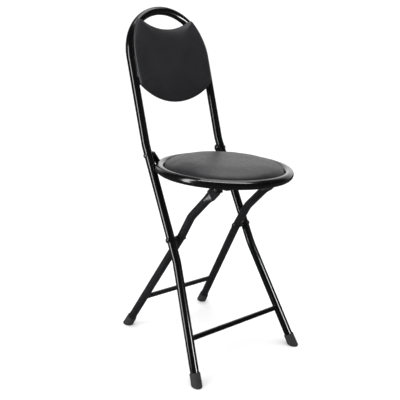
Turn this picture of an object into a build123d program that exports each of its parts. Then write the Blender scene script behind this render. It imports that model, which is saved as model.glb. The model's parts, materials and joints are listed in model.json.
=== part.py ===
"""Folding chair with a round padded seat, a padded back and crossed tube legs.

Millimetres, +Z up. The chair faces -Y and its left side is +X. The origin is on the floor,
under the middle of the open chair. Left-hand pieces are modelled and right-hand ones mirrored.
"""

from build123d import *
from math import asin, cos, hypot, radians, sin, tan
import os

os.makedirs("parts", exist_ok=True)

# Long tube: front legs and back in one bent piece
tube_r = 10.0
tube_wall = 1.2
leg_lean = 31.3          # degrees, side view, foot forward of the back
back_lean = 21.2         # degrees, side view, above the back bend
pivot_y = -27.5          # scissor pivot
pivot_z = 278.4
front_foot_half = 158.5  # half width where the leg axes meet the floor
knee_half = 119.4        # half width where the legs start to splay
knee_z = 235.0
back_half = 114.5        # half width of the back, and radius of the arch
hinge_z = 453.0          # seat hinge
bend_z = 473.0           # back bend
arch_rise = 212.0        # from the back bend to the centre of the arch, along the back

# Rear legs
leg_r = 9.75
leg_wall = 1.2
rear_lean = 27.8         # degrees, side view, foot behind the pivot
rear_foot_half = 125.6
pivot_half = 89.8        # half width of the rear legs at the pivot and above it
elbow_z = 339.7
top_lean = 41.9          # degrees, side view, above the elbow
blade_w = 26.0           # flattened top of the leg
blade_t = 5.0

# Seat
seat_y = -59.5           # centre of the seat
seat_z = 440.2
seat_tilt = 2.0          # degrees, front edge up
ring_r = 149.0           # centre line of the hoop
ring_tube_r = 10.0
board_r = 138.8
board_low, board_high = -9.3, -4.0
rail_half = pivot_half   # half distance between the two rails under the seat
rail_w, rail_t = 14.0, 3.0
pin_drop = 21.0          # top pins of the rear legs, below the plane of the hoop
pin_r = 4.0

# Fixings and small pieces
rivet_r = 3.0
bore_r = 3.05            # running bore for a rivet
cross_r = 6.0            # crossbars
front_bar_run = 225.0    # from the pivot to the front crossbar, along the leg
rear_bar_run = 211.0
foot_r = 12.4            # rubber feet: radius at the floor
foot_wall = 2.0          # wall at the top of the foot
foot_top = 29.0          # height of the foot along the leg
foot_round = 2.5         # rounded edge of the sole
bow_r = 500.0            # the backrest is bowed round the sitter: its radius at the tubes' centre plane
screw_half = 95.0        # backrest screws: half width, and heights above the back bend
screw_rows = (152, 222)
tab_w, tab_t = 18.0, 2.5  # steel tabs that carry the backrest
head_t = 1.9             # screw heads
slot_length, slot_width, slot_depth = 3.8, 0.9, 1.2


def up(start, lean, height, half):
    """The point of a leaning tube at a height, with a new half width."""
    return Vector(half, start.Y + (height - start.Z) * tan(radians(lean)), height)


def at_height(low, high, height):
    """The point at a height on the line through two points."""
    return low + (high - low) * ((height - low.Z) / (high.Z - low.Z))


def flip(point):
    """The same point on the other side of the chair."""
    return Vector(-point.X, point.Y, point.Z)


# Key points of the left side
pivot = Vector(0, pivot_y, pivot_z)
front_ground = up(pivot, leg_lean, 0, front_foot_half)
knee = up(pivot, leg_lean, knee_z, knee_half)
bend = up(pivot, leg_lean, bend_z, back_half)
hinge = up(pivot, leg_lean, hinge_z, 0)
back_up = Vector(0, sin(radians(back_lean)), cos(radians(back_lean)))
back_front = Vector(0, -cos(radians(back_lean)), sin(radians(back_lean)))
spring = bend + back_up * arch_rise

rear_ground = up(pivot, -rear_lean, 0, rear_foot_half)
rear_pivot = Vector(pivot_half, pivot_y, pivot_z)
elbow = up(pivot, -rear_lean, elbow_z, pivot_half)

seat_plane = Plane(
    origin=(0, seat_y, seat_z),
    x_dir=(1, 0, 0),
    z_dir=(0, sin(radians(seat_tilt)), cos(radians(seat_tilt))),
)
back_plane = Plane(origin=(0, bend.Y, bend.Z), x_dir=(1, 0, 0), z_dir=back_front)

# Top pins of the rear legs: on the axis of the leaning leg top, pin_drop under the hoop's plane
top_step = Vector(0, -sin(radians(top_lean)), cos(radians(top_lean)))
elbow_in_seat = seat_plane.to_local_coords(elbow)
step_in_seat = seat_plane.to_local_coords(elbow + top_step) - elbow_in_seat
blade_run = (-pin_drop - elbow_in_seat.Z) / step_in_seat.Z
top_pin = elbow + top_step * blade_run
pin_y = seat_plane.to_local_coords(top_pin).Y
hinge_in_seat = seat_plane.to_local_coords(hinge)


def cross_plane(start, towards):
    """A plane across a tube at its start."""
    return Plane(origin=start, z_dir=(towards - start).normalized())


def side_plane(x):
    """A plane across the chair's width at x, with its own x rearwards (+Y) and y up (+Z)."""
    return Plane(origin=(x, 0, 0), x_dir=(0, 1, 0), z_dir=(1, 0, 0))


def save(block, label):
    block.part.label = label
    export_step(block.part, f"parts/{label}.step")


# ---------------------------------------------------------------- long frame tube
tube_end_z = 13.0
front_end = at_height(front_ground, knee, tube_end_z)
with BuildPart() as frame_tube:
    with BuildLine() as frame_path:
        FilletPolyline(front_end, knee, bend, spring, radius=[180, 110])
        ThreePointArc(spring, Vector(0, spring.Y, spring.Z) + back_up * back_half, flip(spring))
        FilletPolyline(flip(spring), flip(bend), flip(knee), flip(front_end), radius=[110, 180])
    with BuildSketch(cross_plane(front_end, knee)):
        Circle(tube_r)
        Circle(tube_r - tube_wall, mode=Mode.SUBTRACT)
    sweep(path=frame_path.wires()[0])
    # Bores for the scissor rivets and the seat hinge rivets
    for centre in (pivot, hinge):
        with BuildSketch(side_plane(0)):
            with Locations((centre.Y, centre.Z)):
                Circle(bore_r)
        extrude(amount=200, both=True, mode=Mode.SUBTRACT)
save(frame_tube, "frame_tube")


# ---------------------------------------------------------------- crossbars
def bar_end(ground, above, run):
    """The point of a leg's axis at a distance from the pivot, measured in side view."""
    side_length = hypot(ground.Y - pivot.Y, pivot.Z)
    return at_height(ground, above, pivot.Z * (1 - run / side_length))


front_bar_at = bar_end(front_ground, knee, front_bar_run)
rear_bar_at = bar_end(rear_ground, rear_pivot, rear_bar_run)

with BuildPart() as front_crossbar:
    with BuildSketch(side_plane(0)):
        with Locations((front_bar_at.Y, front_bar_at.Z)):
            Circle(cross_r)
            Circle(cross_r - 1.0, mode=Mode.SUBTRACT)
    extrude(amount=front_bar_at.X, both=True)
    # Coped ends that fit round the legs
    for low, high in ((front_ground, knee), (flip(front_ground), flip(knee))):
        with BuildSketch(cross_plane(low, high)):
            Circle(tube_r + 0.02)
        extrude(amount=(high - low).length, mode=Mode.SUBTRACT)
save(front_crossbar, "front_crossbar")

with BuildPart() as rear_crossbar:
    with BuildSketch(side_plane(0)):
        with Locations((rear_bar_at.Y, rear_bar_at.Z)):
            Circle(cross_r)
            Circle(cross_r - 1.0, mode=Mode.SUBTRACT)
    extrude(amount=rear_bar_at.X, both=True)
    for low, high in ((rear_ground, rear_pivot), (flip(rear_ground), flip(rear_pivot))):
        with BuildSketch(cross_plane(low, high)):
            Circle(leg_r + 0.02)
        extrude(amount=(high - low).length, mode=Mode.SUBTRACT)
save(rear_crossbar, "rear_crossbar")


# ---------------------------------------------------------------- rubber feet
def foot_profile_plane(ground, above):
    """A plane that holds the leg's axis, with its y up the axis."""
    axis = (above - ground).normalized()
    across = axis.cross(Vector(0, 0, 1)).normalized()
    return Plane(origin=ground, x_dir=across, z_dir=across.cross(axis)), axis


def foot(ground, above, radius):
    """A rubber cap that widens to a sole cut level with the floor, with a socket for the tube end."""
    plane, axis = foot_profile_plane(ground, above)
    shelf = tube_end_z / axis.Z
    with BuildPart() as block:
        with BuildSketch(plane):
            Polygon((0, -foot_r), (0, shelf), (radius, shelf), (radius, foot_top),
                    (radius + foot_wall, foot_top), (foot_r, 0), (foot_r + 1.2, -foot_r), align=None)
        revolve(axis=Axis(ground, axis))
        split(bisect_by=Plane.XY, keep=Keep.TOP)
        fillet(block.edges().group_by(Axis.Z)[0], foot_round)
        fillet(block.edges().filter_by(GeomType.CIRCLE).group_by(Axis.Z)[-1], 0.6)
    return block


front_foot_left = foot(front_ground, knee, tube_r + 0.03)
save(front_foot_left, "front_foot_left")
with BuildPart() as front_foot_right:
    mirror(front_foot_left.part, about=Plane.YZ)
save(front_foot_right, "front_foot_right")

rear_foot_left = foot(rear_ground, rear_pivot, leg_r + 0.03)
save(rear_foot_left, "rear_foot_left")
with BuildPart() as rear_foot_right:
    mirror(rear_foot_left.part, about=Plane.YZ)
save(rear_foot_right, "rear_foot_right")


# ---------------------------------------------------------------- rear legs
rear_end = at_height(rear_ground, rear_pivot, tube_end_z)
press_start = top_pin - top_step * 40   # where the round tube starts to flatten
press_end = top_pin - top_step * 22
blade_plane = Plane(origin=press_end, x_dir=(1, 0, 0), z_dir=top_step)
under_rail = -ring_tube_r - 0.1 - rail_t

with BuildPart() as rear_leg_left:
    with BuildLine() as leg_path:
        FilletPolyline(rear_end, rear_pivot, elbow, press_start, radius=[150, 60])
    with BuildSketch(cross_plane(rear_end, rear_pivot)):
        Circle(leg_r)
        Circle(leg_r - leg_wall, mode=Mode.SUBTRACT)
    sweep(path=leg_path.wires()[0])
    # Round tube pressed flat
    with BuildSketch(Plane(origin=press_start, x_dir=(1, 0, 0), z_dir=top_step)):
        Circle(leg_r)
    with BuildSketch(blade_plane):
        Ellipse(blade_t / 2, blade_w / 2)
    loft()
    # Flat blade with a round end, cut off level under the seat rail
    with BuildSketch(side_plane(rail_half)):
        with Locations((top_pin.Y, top_pin.Z)):
            Circle(blade_w / 2)
        with Locations(Location(((top_pin.Y + press_end.Y) / 2, (top_pin.Z + press_end.Z) / 2), top_lean)):
            Rectangle(blade_w, (top_pin - press_end).length + 3)
    extrude(amount=blade_t / 2, both=True)
    split(bisect_by=seat_plane.offset(under_rail - 0.3), keep=Keep.BOTTOM)
    # Pivot bore and pin bore
    for centre, radius in ((pivot, bore_r), (top_pin, pin_r + 0.05)):
        with BuildSketch(side_plane(0)):
            with Locations((centre.Y, centre.Z)):
                Circle(radius)
        extrude(amount=200, mode=Mode.SUBTRACT)
save(rear_leg_left, "rear_leg_left")
with BuildPart() as rear_leg_right:
    mirror(rear_leg_left.part, about=Plane.YZ)
save(rear_leg_right, "rear_leg_right")


# ---------------------------------------------------------------- rivets, pins and washers
def turned_pin(centre, low, high, radius, head_r, dome_t):
    """A pin along the width with a domed head outside low and high."""
    with BuildPart() as block:
        with BuildSketch(Plane(origin=(0, centre.Y, centre.Z), x_dir=(1, 0, 0), z_dir=(0, -1, 0))):
            with BuildLine():
                Polyline((low - dome_t, 0), (low - dome_t, head_r * 0.45),
                         (low - dome_t * 0.45, head_r * 0.9), (low, head_r), (low, radius), (high, radius),
                         (high, head_r), (high + dome_t * 0.45, head_r * 0.9),
                         (high + dome_t, head_r * 0.45), (high + dome_t, 0), close=True)
            make_face()
        revolve(axis=Axis(centre, (1, 0, 0)))
        mirror(about=Plane.YZ)
    return block


tube_x_at_pivot = at_height(knee, bend, pivot_z).X
tube_x_at_hinge = at_height(knee, bend, hinge_z).X

pivot_rivets = turned_pin(pivot, pivot_half - leg_r - 0.4, tube_x_at_pivot + tube_r + 0.4, rivet_r, 6.5, 3.0)
save(pivot_rivets, "pivot_rivets")

ear_low, ear_high = 99.8, 102.8
hinge_rivets = turned_pin(hinge, ear_low - 0.3, tube_x_at_hinge + tube_r + 0.4, rivet_r, 5.5, 2.6)
save(hinge_rivets, "hinge_rivets")

leg_pins = turned_pin(top_pin, rail_half - 5.3, rail_half + 5.3, pin_r, 6.0, 2.0)
save(leg_pins, "leg_pins")

with BuildPart() as hinge_washers:
    with BuildSketch(side_plane(ear_high + 0.15)):
        with Locations((hinge.Y, hinge.Z)):
            Circle(7.5)
            Circle(rivet_r + 0.1, mode=Mode.SUBTRACT)
    extrude(amount=1.4)
    mirror(about=Plane.YZ)
save(hinge_washers, "hinge_washers")

# Waisted spacer between the two tubes at the scissor pivot, coped to the long tube
spacer_low = pivot_half + leg_r + 1.2
with BuildPart() as pivot_spacer_left:
    with BuildSketch(Plane(origin=(0, pivot_y, pivot_z), x_dir=(1, 0, 0), z_dir=(0, -1, 0))):
        with BuildLine():
            spacer_high = tube_x_at_pivot - tube_r + 4
            Polyline((spacer_high, 8), (spacer_high, bore_r), (spacer_low, bore_r), (spacer_low, 7.5))
            ThreePointArc((spacer_low, 7.5), ((spacer_low + spacer_high) / 2, 6.5), (spacer_high, 8))
        make_face()
    revolve(axis=Axis(pivot, (1, 0, 0)))
    with BuildSketch(cross_plane(knee, bend)):
        Circle(tube_r + 0.02)
    extrude(amount=(bend - knee).length, mode=Mode.SUBTRACT)
save(pivot_spacer_left, "pivot_spacer_left")
with BuildPart() as pivot_spacer_right:
    mirror(pivot_spacer_left.part, about=Plane.YZ)
save(pivot_spacer_right, "pivot_spacer_right")


# ---------------------------------------------------------------- backrest
pad_half = 110.3
pad_low, pad_corner, pad_side, pad_shoulder, pad_top, pad_dip = 100, 143, 190, 237, 305, 280


def pad_outline(inset):
    """Shield outline of the backrest, drawn flat and drawn in by the inset."""
    half, tip = pad_half - inset, 80 - inset
    with BuildSketch() as outline:
        with BuildLine():
            ThreePointArc((-half, pad_corner), (0, pad_low + inset), (half, pad_corner))
            Spline((half, pad_corner), (half + 2.1, pad_side), (half - 1, pad_shoulder),
                   (101 - inset, 269 - inset), (tip, pad_top - inset))
            ThreePointArc((tip, pad_top - inset), (0, pad_dip - inset), (-tip, pad_top - inset))
            Spline((-tip, pad_top - inset), (inset - 101, 269 - inset), (1 - half, pad_shoulder),
                   (-half - 2.1, pad_side), (-half, pad_corner))
        make_face()
        low_corners = outline.vertices().filter_by_position(Axis.Y, pad_corner - 1, pad_corner + 1)
        fillet(low_corners, 9)
        fillet(outline.vertices().group_by(Axis.Y)[-1], 5)
    return outline.sketch


# Levels through the backrest, measured in its middle, forwards from the tubes' centre plane
tab_far = -2.2
board_near, board_far = -1.4, 2.2
pad_face = 9.0
pad_round = 3.8
across_plane = Plane(origin=back_plane.origin, x_dir=(1, 0, 0), z_dir=back_up)


def bowed_shell(near, far):
    """Section of a bowed sheet between two levels, seen from above."""
    with BuildSketch() as section:
        with Locations((0, -bow_r)):
            Circle(bow_r - near)
            Circle(bow_r - far, mode=Mode.SUBTRACT)
    return section.sketch


def bowed_sheet(inset, near, far):
    """The outline of the backrest cut out of a bowed sheet."""
    with BuildPart() as sheet:
        with BuildSketch(back_plane):
            add(pad_outline(inset))
        extrude(amount=40, both=True)
        with BuildSketch(across_plane):
            add(bowed_shell(near, far))
        extrude(amount=arch_rise + back_half, mode=Mode.INTERSECT)
    return sheet


def screw_plane(row, level):
    """A plane that touches the bowed backrest at a left-hand screw and faces forwards."""
    turn = asin(screw_half / bow_r)
    facing = back_front * cos(turn) - Vector(sin(turn), 0, 0)
    bow_centre = back_plane.origin + back_up * row + back_front * bow_r
    return Plane(origin=bow_centre - facing * (bow_r - level), x_dir=back_up, z_dir=facing)


# The arch passes behind the upper corners, which are hollowed to clear it
with BuildPart() as arch_channel:
    with BuildSketch(cross_plane(front_end, knee)):
        Circle(tube_r + 0.5)
    sweep(path=frame_path.wires()[0])

with BuildPart() as back_board:
    add(bowed_sheet(1.6, board_near, board_far).part)
    add(arch_channel.part, mode=Mode.SUBTRACT)
    for row in screw_rows:
        with BuildSketch(screw_plane(row, board_near - 1)):
            Circle(1.55)
        extrude(amount=4.2, mode=Mode.SUBTRACT)
    split(bisect_by=Plane.YZ, keep=Keep.TOP)
    mirror(about=Plane.YZ)
save(back_board, "back_board")

with BuildPart() as back_pad:
    add(bowed_sheet(0, board_far + 0.1, pad_face).part)
    wide_faces = back_pad.faces().sort_by(SortBy.AREA)[-2:]
    fillet(wide_faces.sort_by(Axis((0, 0, 0), back_front))[-1].edges(), pad_round)
    add(arch_channel.part, mode=Mode.SUBTRACT)
save(back_pad, "back_pad")

# Tabs bowed like the board, coped to the tubes and welded to them
with BuildPart() as tube_core:
    with BuildSketch(cross_plane(front_end, knee)):
        Circle(tube_r + 0.02)
    sweep(path=frame_path.wires()[0])

with BuildPart() as back_tabs:
    for row in screw_rows:
        with BuildSketch(across_plane.offset(row - tab_w / 2)):
            add(bowed_shell(tab_far - tab_t, tab_far))
            Rectangle(back_half - 2, 60, align=(Align.MIN, Align.CENTER), mode=Mode.INTERSECT)
            Rectangle(screw_half - 9, 60, align=(Align.MIN, Align.CENTER), mode=Mode.SUBTRACT)
        extrude(amount=tab_w)
    inner_edges = back_tabs.edges().filter_by_position(Axis.X, screw_half - 10, screw_half - 8)
    fillet(inner_edges.filter_by(lambda edge: edge.length < tab_t + 1), 4)
    for row in screw_rows:
        with BuildSketch(screw_plane(row, tab_far - tab_t - 2)):
            Circle(1.6)
        extrude(amount=tab_t + 4, mode=Mode.SUBTRACT)
    add(tube_core.part, mode=Mode.SUBTRACT)
    mirror(about=Plane.YZ)
save(back_tabs, "back_tabs")


def cross_slots(spots):
    """Cross slots for a screwdriver, drawn flat."""
    with BuildSketch() as slots:
        with Locations(*spots):
            Rectangle(slot_length, slot_width)
            Rectangle(slot_width, slot_length)
    return slots.sketch


# Screws through the tabs into the board
with BuildPart() as back_screws:
    for row in screw_rows:
        seat_level = tab_far - tab_t - 0.05
        with BuildSketch(screw_plane(row, board_near + 3)):
            Circle(1.5)
        extrude(amount=seat_level - board_near - 3)
        with BuildSketch(screw_plane(row, seat_level)):
            Circle(3.4)
        extrude(amount=-head_t)
        with BuildSketch(screw_plane(row, seat_level - head_t)):
            add(cross_slots([(0, 0)]))
        extrude(amount=slot_depth, mode=Mode.SUBTRACT)
    mirror(about=Plane.YZ)
save(back_screws, "back_screws")

# ---------------------------------------------------------------- seat
with BuildPart() as seat_ring:
    with BuildSketch(Plane(origin=seat_plane.origin, x_dir=(1, 0, 0), z_dir=-seat_plane.y_dir)):
        with Locations((ring_r, 0)):
            Circle(ring_tube_r)
            Circle(ring_tube_r - 1.2, mode=Mode.SUBTRACT)
    revolve(axis=Axis(seat_plane.origin, seat_plane.z_dir))
    # Vent hole of the closed hoop, underneath at the back
    with BuildSketch(seat_plane.offset(-ring_tube_r - 1)):
        with Locations((0, ring_r)):
            Circle(2)
    extrude(amount=5, mode=Mode.SUBTRACT)
save(seat_ring, "seat_ring")

seat_screw_spots = [(side * rail_half, y) for side in (-1, 1) for y in (-40, 70)]
with BuildPart() as seat_board:
    with BuildSketch(seat_plane.offset(board_low)):
        Circle(board_r)
    extrude(amount=board_high - board_low)
    with BuildSketch(seat_plane.offset(board_low)):
        with Locations(*seat_screw_spots):
            Circle(1.8)
    extrude(amount=4.5, mode=Mode.SUBTRACT)
save(seat_board, "seat_board")

# Cushion: a domed disc that rolls over into the groove inside the hoop
cushion_r, cushion_rim, cushion_crown = 138.2, 14.5, 25.0
crown_edge = cushion_r - 14
crown_sphere = (crown_edge**2 + (cushion_crown - cushion_rim) ** 2) / (2 * (cushion_crown - cushion_rim))
crown_mid = cushion_crown - crown_sphere + (crown_sphere**2 - (crown_edge / 2) ** 2) ** 0.5
with BuildPart() as seat_cushion:
    with BuildSketch(Plane(origin=seat_plane.origin, x_dir=(1, 0, 0), z_dir=-seat_plane.y_dir)):
        with BuildLine():
            Polyline((0, cushion_crown), (0, board_high + 0.05), (cushion_r - 2, board_high + 0.05),
                     (cushion_r, board_high + 2), (cushion_r, 1))
            ThreePointArc((cushion_r, 1), (cushion_r - 4, cushion_rim - 5), (crown_edge, cushion_rim))
            ThreePointArc((crown_edge, cushion_rim), (crown_edge / 2, crown_mid), (0, cushion_crown))
        make_face()
    revolve(axis=Axis(seat_plane.origin, seat_plane.z_dir))
save(seat_cushion, "seat_cushion")

# Flat rail from the front of the hoop to the back, welded under it
rail_end = (ring_r**2 - (rail_half + rail_w / 2) ** 2) ** 0.5
with BuildPart() as seat_rail_left:
    with BuildSketch(seat_plane.offset(-ring_tube_r - 0.1)):
        with Locations((rail_half, 0)):
            RectangleRounded(rail_w, 2 * rail_end, 3)
        with Locations(*seat_screw_spots[2:]):
            Circle(2.1, mode=Mode.SUBTRACT)
    extrude(amount=-rail_t)
save(seat_rail_left, "seat_rail_left")
with BuildPart() as seat_rail_right:
    mirror(seat_rail_left.part, about=Plane.YZ)
save(seat_rail_right, "seat_rail_right")

with BuildPart() as seat_screws:
    with BuildSketch(seat_plane.offset(board_low + 4)):
        with Locations(*seat_screw_spots):
            Circle(1.75)
    extrude(amount=under_rail - 0.05 - (board_low + 4))
    with BuildSketch(seat_plane.offset(under_rail - 0.05)):
        with Locations(*seat_screw_spots):
            Circle(3.6)
    extrude(amount=-head_t)
    lowest = seat_screws.faces().filter_by(GeomType.PLANE).group_by(Axis((0, 0, 0), seat_plane.z_dir))[0]
    fillet(lowest.edges(), 0.8)
    with BuildSketch(seat_plane.offset(under_rail - 0.05 - head_t)):
        add(cross_slots(seat_screw_spots))
    extrude(amount=slot_depth, mode=Mode.SUBTRACT)
save(seat_screws, "seat_screws")

# Saddle hook: two cheeks and a front stop under the rail. Its notch drops over the leg's top pin
# and is open downwards and rearwards, so the hook lifts off as the seat swings up.
hook_front, hook_back, hook_low = pin_y - 16.0, pin_y + 13.0, -23.5
hook_t = 2.0
gap = blade_t / 2 + 0.5
leave = Vector(cos(radians(44)), -sin(radians(44)))
notch_r = pin_r + 0.3
seat_side = Plane(origin=seat_plane.origin, x_dir=seat_plane.y_dir, z_dir=(1, 0, 0))
with BuildPart() as seat_hook_left:
    with BuildSketch(seat_side.offset(rail_half - gap - hook_t)):
        with BuildLine():
            Polyline((hook_front, under_rail), (hook_front, hook_low), (hook_back - 4, hook_low),
                     (hook_back, under_rail), close=True)
        make_face()
    extrude(amount=2 * (gap + hook_t))
    # The space for the blade, open at the back
    with BuildSketch(seat_side.offset(rail_half - gap)):
        with BuildLine():
            Polyline((hook_front + hook_t, under_rail + 1), (hook_front + hook_t, hook_low - 1),
                     (hook_back + 1, hook_low - 1), (hook_back + 1, under_rail + 1), close=True)
        make_face()
    extrude(amount=2 * gap, mode=Mode.SUBTRACT)
    # The notch for the pin
    upper = Vector(pin_y, -pin_drop) + Vector(-leave.Y, leave.X) * notch_r
    with BuildSketch(seat_side.offset(rail_half - gap - hook_t - 1)):
        with Locations((pin_y, -pin_drop)):
            Circle(notch_r)
        with BuildLine():
            Polyline((pin_y - notch_r, -pin_drop), (pin_y - notch_r, hook_low - 1),
                     upper + leave * ((upper.Y - hook_low + 1) / -leave.Y), upper, close=True)
        make_face()
    extrude(amount=2 * (gap + hook_t + 1), mode=Mode.SUBTRACT)
save(seat_hook_left, "seat_hook_left")
with BuildPart() as seat_hook_right:
    mirror(seat_hook_left.part, about=Plane.YZ)
save(seat_hook_right, "seat_hook_right")

# Ear: a strap from the outside of the hoop up to the hinge rivet
ear_r, strap_r = 9.0, 7.0
strap_y = (ring_r**2 - ear_low**2) ** 0.5
with BuildPart() as hinge_ear_left:
    with BuildSketch(seat_side.offset(ear_low)):
        with Locations((hinge_in_seat.Y, hinge_in_seat.Z)):
            Circle(ear_r)
        with Locations((strap_y, 0)):
            Circle(strap_r)
        make_hull()
        with Locations((hinge_in_seat.Y, hinge_in_seat.Z)):
            Circle(bore_r, mode=Mode.SUBTRACT)
    extrude(amount=ear_high - ear_low)
    with BuildSketch(Plane(origin=seat_plane.origin, x_dir=(1, 0, 0), z_dir=-seat_plane.y_dir)):
        with Locations((ring_r, 0)):
            Circle(ring_tube_r + 0.03)
    revolve(axis=Axis(seat_plane.origin, seat_plane.z_dir), mode=Mode.SUBTRACT)
save(hinge_ear_left, "hinge_ear_left")
with BuildPart() as hinge_ear_right:
    mirror(hinge_ear_left.part, about=Plane.YZ)
save(hinge_ear_right, "hinge_ear_right")

for name, point in (("hinge", hinge), ("pivot", pivot), ("top pin", top_pin), ("front ground", front_ground),
                    ("rear ground", rear_ground), ("bend", bend), ("spring", spring)):
    print(name, point)
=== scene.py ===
"""Looks of a folding chair with a round padded seat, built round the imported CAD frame.

Metres, +Z up. The chair faces -Y and its left side is +X.
"""

import json
from math import atan2, ceil, cos, hypot, pi, radians, sin

import bpy
from mathutils import Matrix, Quaternion, Vector, noise
from mathutils.bvhtree import BVHTree


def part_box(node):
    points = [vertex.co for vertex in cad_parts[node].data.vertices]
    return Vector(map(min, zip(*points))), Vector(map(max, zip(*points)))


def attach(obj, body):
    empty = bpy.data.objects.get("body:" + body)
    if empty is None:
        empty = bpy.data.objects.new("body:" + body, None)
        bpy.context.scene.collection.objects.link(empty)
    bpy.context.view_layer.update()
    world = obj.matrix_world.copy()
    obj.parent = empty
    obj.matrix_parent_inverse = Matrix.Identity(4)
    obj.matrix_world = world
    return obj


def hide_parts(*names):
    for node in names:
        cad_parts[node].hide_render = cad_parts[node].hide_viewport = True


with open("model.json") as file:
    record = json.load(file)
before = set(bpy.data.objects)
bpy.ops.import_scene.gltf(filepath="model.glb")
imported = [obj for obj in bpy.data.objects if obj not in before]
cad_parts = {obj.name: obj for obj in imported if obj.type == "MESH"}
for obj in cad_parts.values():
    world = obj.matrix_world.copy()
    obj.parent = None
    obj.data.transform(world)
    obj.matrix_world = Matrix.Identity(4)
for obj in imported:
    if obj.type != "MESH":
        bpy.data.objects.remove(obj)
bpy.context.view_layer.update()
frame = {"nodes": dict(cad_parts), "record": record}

MM = 0.001
SEAT_TILT = radians(2)        # front edge up
BACK_LEAN = radians(21.2)
BOW_R = 500 * MM              # the backrest's bow round the sitter
ARCH_GAP = 0.4 * MM           # between the arch and the vinyl in front of it
FAR = 0.3                     # a start for rays, outside the chair

CELLS = 44                    # quads across a padded top
SWELL_FRAMES = 20
SWELL_PRESSURE = 4.0
SWELL_LIMIT = 1.5 * MM        # no point of a cover moves further than this
DIMPLE_DEPTH = 0.35 * MM
DIMPLE_SIZE = 35 * MM

WELD_R = 0.9 * MM
WELD_SPOTS = 48               # points along a bead
STAPLE_WIRE_R = 0.45 * MM
STAPLE_REACH = 4.5 * MM       # half a staple's length
STAPLE_RISE = 0.5 * MM
STAPLE_SPACING = 24 * MM
STAPLE_CLEAR = 7.5 * MM       # least distance from metal over the hem
HEM_R = 115 * MM              # about the radius of both hems

NOISE, VORONOI = "ShaderNodeTexNoise", "ShaderNodeTexVoronoi"


# ---------------------------------------------------------------- node helpers
def material(name, base, roughness, **settings):
    """A Principled material. Each setting is a value on the shader's own socket."""
    made = bpy.data.materials.new(name)
    made.use_nodes = True
    shader = made.node_tree.nodes["Principled BSDF"]
    shader.inputs["Base Color"].default_value = (*base, 1)
    shader.inputs["Roughness"].default_value = roughness
    for socket, value in settings.items():
        shader.inputs[socket.replace("_", " ")].default_value = value
    return made, made.node_tree, shader


def texture(tree, kind, scale, stretch=(1, 1, 1), **settings):
    """A noise or Voronoi texture in object space, with scale in cells per metre."""
    made = tree.nodes.new(kind)
    place = tree.nodes.new("ShaderNodeTexCoord")
    mapping = tree.nodes.new("ShaderNodeMapping")
    mapping.inputs["Scale"].default_value = stretch
    tree.links.new(place.outputs["Object"], mapping.inputs["Vector"])
    tree.links.new(mapping.outputs["Vector"], made.inputs["Vector"])
    made.inputs["Scale"].default_value = scale
    for setting, value in settings.items():
        if setting in made.inputs:
            made.inputs[setting].default_value = value
        else:
            setattr(made, setting, value)
    return made.outputs[0]


def spread(tree, source, low, high, clip=(0.3, 0.7)):
    """The source's middle range, stretched to run from low to high."""
    made = tree.nodes.new("ShaderNodeMapRange")
    tree.links.new(source, made.inputs["Value"])
    for socket, value in zip(("From Min", "From Max", "To Min", "To Max"), (*clip, low, high)):
        made.inputs[socket].default_value = value
    return made.outputs["Result"]


def blend_colours(tree, source, low, high, clip=(0.3, 0.7)):
    """A colour that runs from low to high over the source's middle range."""
    made = tree.nodes.new("ShaderNodeValToRGB")
    for stop, place, colour in zip(made.color_ramp.elements, clip, (low, high)):
        stop.position = place
        stop.color = (*colour, 1)
    tree.links.new(source, made.inputs["Fac"])
    return made.outputs["Color"]


def add(tree, first, second):
    """The sum of two sockets."""
    made = tree.nodes.new("ShaderNodeMath")
    tree.links.new(first, made.inputs[0])
    tree.links.new(second, made.inputs[1])
    return made.outputs[0]


def bump(tree, shader, height, distance, coat=False):
    """Relief of the given real depth on the base, and on the clear coat too if asked."""
    made = tree.nodes.new("ShaderNodeBump")
    made.inputs["Distance"].default_value = distance
    tree.links.new(height, made.inputs["Height"])
    tree.links.new(made.outputs["Normal"], shader.inputs["Normal"])
    if coat:
        tree.links.new(made.outputs["Normal"], shader.inputs["Coat Normal"])


# ---------------------------------------------------------------- materials, one for each slot
def paint(name, dark, light, roughness, coat_weight, coat_roughness, peel_scale, peel_depth):
    """Black enamel: faint clouding, uneven gloss and a fine orange peel."""
    made, tree, shader = material(name, dark, roughness[0], Coat_Weight=coat_weight,
                                  Coat_Roughness=coat_roughness)
    clouds = texture(tree, NOISE, 26, Detail=4.0)
    tree.links.new(blend_colours(tree, clouds, dark, light), shader.inputs["Base Color"])
    handling = texture(tree, NOISE, 70, Detail=5.0, Roughness=0.6)
    tree.links.new(spread(tree, handling, *roughness), shader.inputs["Roughness"])
    bump(tree, shader, texture(tree, NOISE, peel_scale, Detail=1.0), peel_depth, coat=True)
    return made


def cover():
    """Black vinyl: pebble grain of about a millimetre, with soft clouding."""
    made, tree, shader = material("cover", (0.014, 0.014, 0.016), 0.42, Sheen_Weight=0.04,
                                  Sheen_Roughness=0.4)
    clouds = texture(tree, NOISE, 18, Detail=3.0)
    tint = blend_colours(tree, clouds, (0.011, 0.011, 0.013), (0.016, 0.016, 0.0185))
    tree.links.new(tint, shader.inputs["Base Color"])
    handling = texture(tree, NOISE, 120, Detail=4.0)
    tree.links.new(spread(tree, handling, 0.36, 0.46), shader.inputs["Roughness"])
    pebbles = texture(tree, VORONOI, 900, feature="SMOOTH_F1", Smoothness=0.6)
    creases = texture(tree, NOISE, 420, Detail=4.0, Roughness=0.65)
    bump(tree, shader, add(tree, pebbles, creases), 0.00012)
    return made


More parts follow.
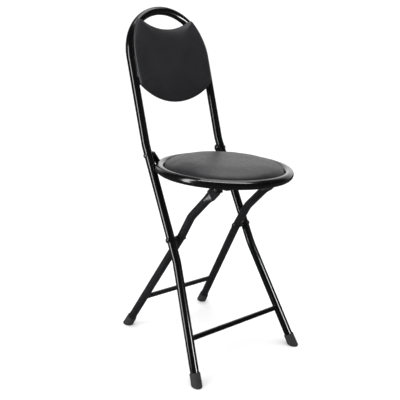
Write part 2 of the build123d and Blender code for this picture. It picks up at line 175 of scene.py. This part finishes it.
def board():
    """Hardboard painted matt black, with its fibres showing."""
    made, tree, shader = material("board_black", (0.02, 0.02, 0.02), 0.7)
    fibres = texture(tree, NOISE, 260, stretch=(1, 0.25, 1), Detail=6.0, Roughness=0.7)
    tree.links.new(blend_colours(tree, fibres, (0.012, 0.0115, 0.011), (0.03, 0.028, 0.026)),
                   shader.inputs["Base Color"])
    tree.links.new(spread(tree, fibres, 0.6, 0.85), shader.inputs["Roughness"])
    bump(tree, shader, fibres, 0.0002)
    return made


def rubber():
    """Moulded black rubber: matt, with a fine spark-eroded texture and dust on it."""
    made, tree, shader = material("foot_rubber", (0.022, 0.022, 0.023), 0.75)
    dust = texture(tree, NOISE, 90, Detail=6.0, Roughness=0.7)
    tree.links.new(blend_colours(tree, dust, (0.016, 0.016, 0.0165), (0.04, 0.039, 0.038)),
                   shader.inputs["Base Color"])
    tree.links.new(spread(tree, dust, 0.6, 0.85), shader.inputs["Roughness"])
    bump(tree, shader, texture(tree, NOISE, 1600, Detail=3.0), 0.0001)
    return made


def bare_metal(name, dark, light, roughness):
    """Plated steel with turning marks and small scuffs."""
    made, tree, shader = material(name, light, roughness[0], Metallic=1.0)
    marks = texture(tree, NOISE, 500, stretch=(6, 1, 1), Detail=4.0)
    tree.links.new(blend_colours(tree, marks, dark, light), shader.inputs["Base Color"])
    tree.links.new(spread(tree, marks, *roughness), shader.inputs["Roughness"])
    bump(tree, shader, marks, 0.00003)
    return made


finishes = {
    "gloss_black_paint": paint("gloss_black_paint", (0.0012, 0.0012, 0.0014), (0.002, 0.002, 0.0023),
                               (0.19, 0.215), 1.0, 0.05, 55, 0.0000022),
    "satin_black_paint": paint("satin_black_paint", (0.007, 0.007, 0.008), (0.012, 0.012, 0.0135),
                               (0.26, 0.34), 0.5, 0.14, 1500, 0.00002),
    "cover": cover(),
    "board_black": board(),
    "foot_rubber": rubber(),
    "rivet_steel": bare_metal("rivet_steel", (0.32, 0.32, 0.34), (0.55, 0.55, 0.57), (0.22, 0.4)),
    "black_rivets": paint("black_rivets", (0.006, 0.006, 0.007), (0.011, 0.011, 0.012),
                          (0.2, 0.32), 0.8, 0.1, 700, 0.00003),
    "black_screws": bare_metal("black_screws", (0.03, 0.03, 0.033), (0.07, 0.07, 0.075), (0.3, 0.5)),
}
for part in frame["record"]["subparts"]:
    for slot in frame["nodes"][part["node"]].material_slots:
        slot.link = "OBJECT"
        slot.material = finishes[part["material_slot"]]


# ---------------------------------------------------------------- reading the frame
def tree_of(node):
    """A search tree of a CAD node's surface, for rays and nearest points."""
    mesh = frame["nodes"][node].data
    return BVHTree.FromPolygons([v.co for v in mesh.vertices], [p.vertices for p in mesh.polygons])


def middle(node):
    """The middle of a CAD node's box."""
    low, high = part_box(node)
    return (Vector(low) + Vector(high)) / 2


def space(origin, tilt):
    """A frame at origin, turned about X: +X across the chair, +Z out of a face."""
    return Matrix.Translation(origin) @ Matrix.Rotation(tilt, 4, "X")


# ---------------------------------------------------------------- padded covers
def disc(cells):
    """Quads that fill a unit disc: points, faces, and the rim's points anticlockwise."""
    line = [2 * i / cells - 1 for i in range(cells + 1)]
    points = [(u * (1 - v * v / 2) ** 0.5, v * (1 - u * u / 2) ** 0.5) for v in line for u in line]
    row = cells + 1
    corners = [j * row + i for j in range(cells) for i in range(cells)]
    faces = [(a, a + 1, a + 1 + row, a + row) for a in corners]
    rim = [*range(cells), *range(cells, cells * row, row),
           *range(row * row - 1, cells * row, -1), *range(cells * row, 0, -row)]
    return points, faces, rim


def gathers(angle, folds):
    """Depth from 0 to 1 of the small folds where a cover is pulled round an edge."""
    wander = noise.noise(Vector((cos(angle), sin(angle), 0.3)) * 5)
    return (0.5 + 0.5 * sin(folds * angle + 9 * wander)) ** 2


def wrapped_pad(name, place, outline, crown, profile, folds):
    """A closed cover, stuffed on top and wrapped round a board's edge.

    outline(angle) gives the edge point and its outward normal. The crown gives the top's height
    from the share of the way out. The profile runs from the top's edge down the side, under the
    board and back over it, as (inset, height, depth of the gathers). All but the top and the first
    ring below it is held when the pad swells.
    """
    flat, faces, rim = disc(CELLS)
    points = []

    def ring_point(angle, inset):
        edge, normal = outline(angle)
        return edge - normal * inset

    def cap(inset, height_at):
        for x, y in flat:
            share, angle = hypot(x, y), atan2(y, x)
            spot = ring_point(angle, inset) * share
            points.append(place @ Vector((spot.x, spot.y, height_at(share, angle))))

    cap(profile[0][0], crown)
    quads = list(faces)
    previous = rim
    for inset, height, depth in profile[1:]:
        ring = range(len(points), len(points) + len(rim))
        for spot in rim:
            angle = atan2(flat[spot][1], flat[spot][0])
            edge = ring_point(angle, inset)
            points.append(place @ Vector((edge.x, edge.y, height - depth * gathers(angle, folds))))
        for k in range(len(rim)):
            nxt = (k + 1) % len(rim)
            quads.append((previous[k], ring[k], ring[nxt], previous[nxt]))
        previous = ring
    first = len(points)
    last_inset, last_height = profile[-1][:2]
    cap(last_inset + 2 * MM, lambda share, angle: last_height)
    quads += [tuple(first + corner for corner in reversed(face)) for face in faces]
    for k in range(len(rim)):
        nxt = (k + 1) % len(rim)
        quads.append((previous[k], first + rim[k], first + rim[nxt], previous[nxt]))

    mesh = bpy.data.meshes.new(name)
    mesh.from_pydata(points, [], quads)
    mesh.update()
    made = bpy.data.objects.new(name, mesh)
    bpy.context.collection.objects.link(made)
    mesh.polygons.foreach_set("use_smooth", [True] * len(mesh.polygons))
    mesh.materials.append(finishes["cover"])
    first_held = len(flat) + len(rim)
    made.vertex_groups.new(name="held").add(list(range(first_held, len(points))), 1.0, "REPLACE")
    return made


def swell(obj, most):
    """Blows the pad up with cloth pressure. The held points stay, and no point moves over most."""
    rest = [v.co.copy() for v in obj.data.vertices]
    cloth = obj.modifiers.new("Cloth", "CLOTH")
    cloth.settings.quality = 6
    cloth.settings.tension_stiffness = 12
    cloth.settings.compression_stiffness = 12
    cloth.settings.bending_stiffness = 0.8
    cloth.settings.vertex_group_mass = "held"
    cloth.settings.use_pressure = True
    cloth.settings.uniform_pressure_force = SWELL_PRESSURE
    cloth.settings.effector_weights.gravity = 0
    cloth.point_cache.frame_start, cloth.point_cache.frame_end = 1, SWELL_FRAMES
    for step in range(1, SWELL_FRAMES + 1):
        bpy.context.scene.frame_set(step)
    blown = obj.evaluated_get(bpy.context.evaluated_depsgraph_get()).data
    moved = [new.co - old for new, old in zip(blown.vertices, rest)]
    obj.modifiers.remove(cloth)
    bpy.context.scene.frame_set(1)
    for vertex, old, move in zip(obj.data.vertices, rest, moved):
        vertex.co = old + move * (most / (most + move.length))


def dimple(obj, place, depth, size):
    """Gentle unevenness of foam under a cover, on the side that faces out."""
    out = place.to_3x3() @ Vector((0, 0, 1))
    for vertex in obj.data.vertices:
        facing = max(0, vertex.normal.dot(out))
        vertex.co += out * (depth * facing * noise.noise(vertex.co / size))


def finish_pad(obj, place, body, node, shape=None):
    """Swells and smooths a cover and puts it in the place of its CAD solid."""
    swell(obj, SWELL_LIMIT)
    dimple(obj, place, DIMPLE_DEPTH, DIMPLE_SIZE)
    if shape:
        shape(obj)
    smooth = obj.modifiers.new("Subdivision", "SUBSURF")
    smooth.levels = smooth.render_levels = 1
    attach(obj, body)
    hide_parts(node)


seat_space = space(middle("seat_ring"), -SEAT_TILT)
back_space = space(middle("back_pad"), pi / 2 - BACK_LEAN)

# Round seat
seat_low, seat_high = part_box("seat_cushion")
seat_r = (seat_high[0] - seat_low[0]) / 2
seat_crown = 24.5 * MM


def seat_outline(angle):
    """The cushion's circle: a point and its outward normal."""
    normal = Vector((cos(angle), sin(angle)))
    return normal * seat_r, normal


def seat_height(share, angle):
    """Domed, and rolling over steeply near the hoop."""
    return seat_crown * (1 - (0.971 * share) ** 5.5) ** 0.5


# In millimetres: down the side, round the board's edge, under it, and back inside the hem
seat_profile = [(4.0, 9.4, 0), (2.2, 7.0, 0), (1.0, 4.6, 0), (0.35, 2.4, 0), (0.3, 0, 0), (0.3, -2.6, 0),
                (-0.8, -4.4, 0), (-1.15, -6.0, 0.1), (-1.1, -8.7, 0.1), (-0.3, -9.55, 0.15),
                (2.0, -9.75, 0.25), (10.0, -9.75, 0.25), (19.5, -9.72, 0.2), (20.5, -9.6, 0.1),
                (19.5, -9.45, 0), (2.0, -9.4, 0), (-0.68, -9.35, 0), (-0.66, -4.1, 0), (0.5, -3.95, 0)]
seat_rings = [(inset * MM, height * MM, depth * MM) for inset, height, depth in seat_profile]
seat_cover = wrapped_pad("seat_cover", seat_space, seat_outline, seat_height, seat_rings, 46)
finish_pad(seat_cover, seat_space, "seat", "seat_cushion")

# Backrest: bowed round the sitter, so heights are measured from a bowed sheet
def bow(x):
    """How far the backrest comes forward at a distance from its middle."""
    return BOW_R - (BOW_R**2 - x**2) ** 0.5


def straightened(node):
    """A search tree of a CAD node, in the backrest's space with the bow taken out."""
    mesh, into = frame["nodes"][node].data, back_space.inverted()
    points = [into @ vertex.co for vertex in mesh.vertices]
    return BVHTree.FromPolygons([Vector((p.x, p.y, p.z - bow(p.x))) for p in points],
                                [face.vertices for face in mesh.polygons])


def level(tree, side):
    """Height of a straightened surface near its middle, from in front (1) or behind (-1)."""
    start = Vector((0.004, 0.004, side * 0.1))
    return tree.ray_cast(start, Vector((0, 0, -side)))[0].z


pad_tree = straightened("back_pad")
pad_back, pad_front = level(pad_tree, -1), level(pad_tree, 1)
board_back = level(straightened("back_board"), -1)
pad_middle = pad_back + 3.5 * MM


def pad_edge(angle):
    """The backrest's outline, found by a ray from outside in its own plane."""
    ray = Vector((cos(angle), sin(angle), 0))
    return pad_tree.ray_cast(ray * FAR + Vector((0, 0, pad_middle)), -ray)[0].to_2d()


def pad_outline(angle):
    """A point of the outline and its outward normal."""
    step = radians(1.5)
    along = pad_edge(angle + step) - pad_edge(angle - step)
    return pad_edge(angle), Vector((along.y, -along.x)).normalized()


def pad_height(share, angle):
    """Nearly flat, and rolling over at the edge."""
    return pad_front - 5.5 * MM + 9.0 * MM * (1 - (0.96 * share) ** 5) ** 0.5


def bend_round(obj):
    """Bows a pad, then presses it forward wherever the arch would stand in it."""
    arch, out = tree_of("frame_tube"), back_space.to_3x3() @ Vector((0, 0, 1))
    for vertex in obj.data.vertices:
        flat = back_space.inverted() @ vertex.co
        vertex.co = back_space @ Vector((flat.x, flat.y, flat.z + bow(flat.x)))
        clear = vertex.co.copy()
        spot, normal = arch.find_nearest(clear)[:2]
        while (clear - spot).dot(normal) < ARCH_GAP and (clear - vertex.co).length < 30 * MM:
            clear += out * 0.2 * MM
            spot, normal = arch.find_nearest(clear)[:2]
        vertex.co = clear


# In millimetres above the pad's back: down the side, over the board's edge, and back inside the hem
pad_t, hem = (pad_front - pad_back) / MM, (board_back - pad_back) / MM
pad_profile = [(4.5, pad_t - 1.8, 0), (2.2, pad_t - 3.0, 0), (0.9, pad_t - 4.6, 0), (0.35, 1.0, 0),
               (0.3, 0.2, 0), (0.4, hem + 1.2, 0), (1.0, hem - 0.1, 0.05), (2.6, hem - 0.3, 0.1),
               (9.0, hem - 0.3, 0.15), (16.0, hem - 0.28, 0.15), (17.0, hem - 0.2, 0.1),
               (16.0, hem - 0.1, 0), (3.5, hem - 0.07, 0), (1.5, hem - 0.03, 0), (1.4, -0.1, 0), (3.0, -0.03, 0)]
pad_rings = [(inset * MM, pad_back + height * MM, depth * MM) for inset, height, depth in pad_profile]
pad_cover = wrapped_pad("back_cover", back_space, pad_outline, pad_height, pad_rings, 40)
finish_pad(pad_cover, back_space, "back_frame", "back_pad", bend_round)


# ---------------------------------------------------------------- welds
def weld(name, points, radius, body, slot):
    """A closed bead of weld along the points, with the ripple of its drops."""
    curve = bpy.data.curves.new(name, "CURVE")
    curve.dimensions = "3D"
    curve.bevel_depth, curve.bevel_resolution = radius, 3
    line = curve.splines.new("POLY")
    line.points.add(len(points) - 1)
    for k, (spot, point) in enumerate(zip(line.points, points)):
        spot.co = (*point, 1)
        spot.radius = 1 + 0.16 * sin(2.1 * k) + 0.12 * noise.noise(point * 200)
    line.use_cyclic_u = True
    curve.materials.append(finishes[slot])
    made = bpy.data.objects.new(name, curve)
    bpy.context.collection.objects.link(made)
    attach(made, body)


def crossbar_welds(bar, legs, body, slot):
    """Beads where a crossbar's two ends meet the legs: each follows the leg's own surface."""
    low, high = (Vector(corner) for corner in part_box(bar))
    centre, radius = (low + high) / 2, (high.z - low.z) / 2 + WELD_R / 3
    for side, leg in zip((-1, 1), legs):
        surface, points = tree_of(leg), []
        for k in range(WELD_SPOTS):
            angle = 2 * pi * k / WELD_SPOTS
            start = centre + Vector((0, cos(angle), sin(angle))) * radius
            points.append(surface.ray_cast(start, Vector((side, 0, 0)))[0])
        weld(f"weld_{bar}_{'left' if side > 0 else 'right'}", points, WELD_R, body, slot)


crossbar_welds("front_crossbar", ("frame_tube", "frame_tube"), "back_frame", "gloss_black_paint")
crossbar_welds("rear_crossbar", ("rear_leg_right", "rear_leg_left"), "rear_legs", "satin_black_paint")


# ---------------------------------------------------------------- staples in the hems
def staples(name, place, outline, inset, height, metal, body, rise_at=lambda x: 0):
    """Wire staples that hold a hem to its board, left out where metal lies over the hem."""
    curve = bpy.data.curves.new(name, "CURVE")
    curve.dimensions = "3D"
    curve.bevel_depth, curve.bevel_resolution = STAPLE_WIRE_R, 2
    keep_clear = [tree_of(node) for node in metal]
    count = ceil(2 * pi * HEM_R / STAPLE_SPACING)
    for k in range(count):
        angle = 2 * pi * k / count + 0.03 * sin(7 * k)
        edge, normal = outline(angle)
        spot = edge - normal * inset
        centre = place @ Vector((spot.x, spot.y, height + rise_at(spot.x)))
        if min(tree.find_nearest(centre)[3] for tree in keep_clear) < STAPLE_CLEAR:
            continue
        along = Vector((-normal.y, normal.x)).lerp(normal, 0.12 * sin(5 * k)) * STAPLE_REACH
        line = curve.splines.new("POLY")
        line.points.add(3)
        shape = ((-1, 1), (-0.9, -0.3), (0.9, -0.3), (1, 1))
        for knot, (share, lift) in zip(line.points, shape):
            x, y = spot.x + along.x * share, spot.y + along.y * share
            knot.co = (*(place @ Vector((x, y, height + lift * STAPLE_RISE + rise_at(x)))), 1)
    curve.materials.append(finishes["rivet_steel"])
    made = bpy.data.objects.new(name, curve)
    bpy.context.collection.objects.link(made)
    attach(made, body)


seat_metal = ("seat_rail_left", "seat_rail_right", "hinge_ear_left", "hinge_ear_right", "seat_screws")
staples("seat_staples", seat_space, seat_outline, 13 * MM, -10.1 * MM, seat_metal, "seat")
back_metal = ("frame_tube", "back_tabs", "back_screws")
staples("back_staples", back_space, pad_outline, 11 * MM, board_back - 0.65 * MM, back_metal,
        "back_frame", bow)


# ---------------------------------------------------------------- floor, light and camera
FLOOR_HALF = 20
FAR_SIDE = (0.67, 0.74, 0)    # the side of the studio that gloss paint meets bright


def stage_floor():
    """A plain pale floor. Gloss paint meets it dimmed, as it would a floor in the chair's own shade."""
    mesh = bpy.data.meshes.new("floor")
    corners = ((-1, -1), (1, -1), (1, 1), (-1, 1))
    mesh.from_pydata([(FLOOR_HALF * x, FLOOR_HALF * y, 0) for x, y in corners], [], [(0, 1, 2, 3)])
    floor = bpy.data.objects.new("floor", mesh)
    bpy.context.collection.objects.link(floor)
    made, tree, shader = material("pale_floor", (0.97, 0.97, 0.97), 0.8)
    shade = texture(tree, NOISE, 3, Detail=2.0)
    tree.links.new(blend_colours(tree, shade, (0.965, 0.965, 0.965), (0.975, 0.975, 0.975)),
                   shader.inputs["Base Color"])
    dim, mix, path = (tree.nodes.new(kind) for kind in
                      ("ShaderNodeBsdfDiffuse", "ShaderNodeMixShader", "ShaderNodeLightPath"))
    dim.inputs["Color"].default_value = (0.04, 0.04, 0.04, 1)
    tree.links.new(path.outputs["Is Glossy Ray"], mix.inputs[0])
    tree.links.new(shader.outputs[0], mix.inputs[1])
    tree.links.new(dim.outputs[0], mix.inputs[2])
    tree.links.new(mix.outputs[0], tree.nodes["Material Output"].inputs["Surface"])
    mesh.materials.append(made)


def softbox(name, place, target, width, height, watts, diffuse=True, only=()):
    """A rectangular light aimed at target. It may show in gloss alone, or light only some pieces."""
    lamp = bpy.data.lights.new(name, "AREA")
    lamp.shape = "RECTANGLE"
    lamp.size, lamp.size_y, lamp.energy = width, height, watts
    made = bpy.data.objects.new(name, lamp)
    made.location = place
    made.rotation_euler = (Vector(target) - Vector(place)).to_track_quat("-Z", "Y").to_euler()
    made.visible_camera = False
    made.visible_diffuse = diffuse
    if only:
        lit = bpy.data.collections.new(f"lit_by_{name}")
        for piece in only:
            lit.objects.link(piece)
        made.light_linking.receiver_collection = lit
    bpy.context.collection.objects.link(made)


def surroundings():
    """White all round to look at and for soft light. Gloss paint meets it dark, but for the far side."""
    world = bpy.data.worlds.new("studio")
    bpy.context.scene.world = world
    world.use_nodes = True
    tree = world.node_tree
    white, mirrored, mix = (tree.nodes.new(kind) for kind in
                            ("ShaderNodeBackground", "ShaderNodeBackground", "ShaderNodeMixShader"))
    path, place, dot = (tree.nodes.new(kind) for kind in
                        ("ShaderNodeLightPath", "ShaderNodeTexCoord", "ShaderNodeVectorMath"))
    dot.operation = "DOT_PRODUCT"
    dot.inputs[1].default_value = FAR_SIDE
    tree.links.new(place.outputs["Generated"], dot.inputs[0])
    brightening = spread(tree, dot.outputs["Value"], 0.012, 0.92, (0.45, 0.95))
    tree.links.new(brightening, mirrored.inputs["Strength"])
    tree.links.new(path.outputs["Is Glossy Ray"], mix.inputs[0])
    tree.links.new(white.outputs[0], mix.inputs[1])
    tree.links.new(mirrored.outputs[0], mix.inputs[2])
    tree.links.new(mix.outputs[0], tree.nodes["World Output"].inputs["Surface"])
    for background in (white, mirrored):
        background.inputs["Color"].default_value = (1, 1, 1, 1)
    white.inputs["Strength"].default_value = 1.17


stage_floor()
surroundings()
softbox("strip_left", (-0.95, 0.12, 0.5), (0, 0.0, 0.38), 0.22, 1.4, 6.4)
softbox("strip_front", (0.35, -1.5, 0.45), (0, 0, 0.32), 0.3, 0.9, 15, diffuse=False,
        only=[frame["nodes"][node] for node in ("frame_tube", "rear_leg_left", "rear_leg_right")])
softbox("strip_over", (-0.42, -0.53, 2.1), (0, -0.06, 0.45), 2.2, 0.16, 18, diffuse=False,
        only=[frame["nodes"]["seat_ring"]])
softbox("overhead", (0.3, 0.2, 2.4), (0, 0, 0.3), 1.4, 1.4, 12)
softbox("back_left", (-1.5, 0.1, 1.3), (0, 0.15, 0.65), 1.5, 1.5, 24, only=[pad_cover])
softbox("far_top", (0.6, 0.35, 1.7), (0, -0.06, 0.45), 1.0, 1.0, 4, only=[seat_cover])

azimuth, elevation, roll = radians(41.75), radians(17.03), radians(4.24)
forward = Vector((sin(azimuth) * cos(elevation), cos(azimuth) * cos(elevation), -sin(elevation)))
lens = bpy.data.cameras.new("camera")
lens.sensor_width, lens.lens = 36, 55.22
camera = bpy.data.objects.new("camera", lens)
camera.location = (-0.9509, -1.0495, 0.7823)
camera.rotation_mode = "QUATERNION"
camera.rotation_quaternion = forward.to_track_quat("-Z", "Y") @ Quaternion((0, 0, 1), roll)
bpy.context.collection.objects.link(camera)
bpy.context.scene.camera = camera
bpy.context.scene.view_settings.view_transform = "Standard"
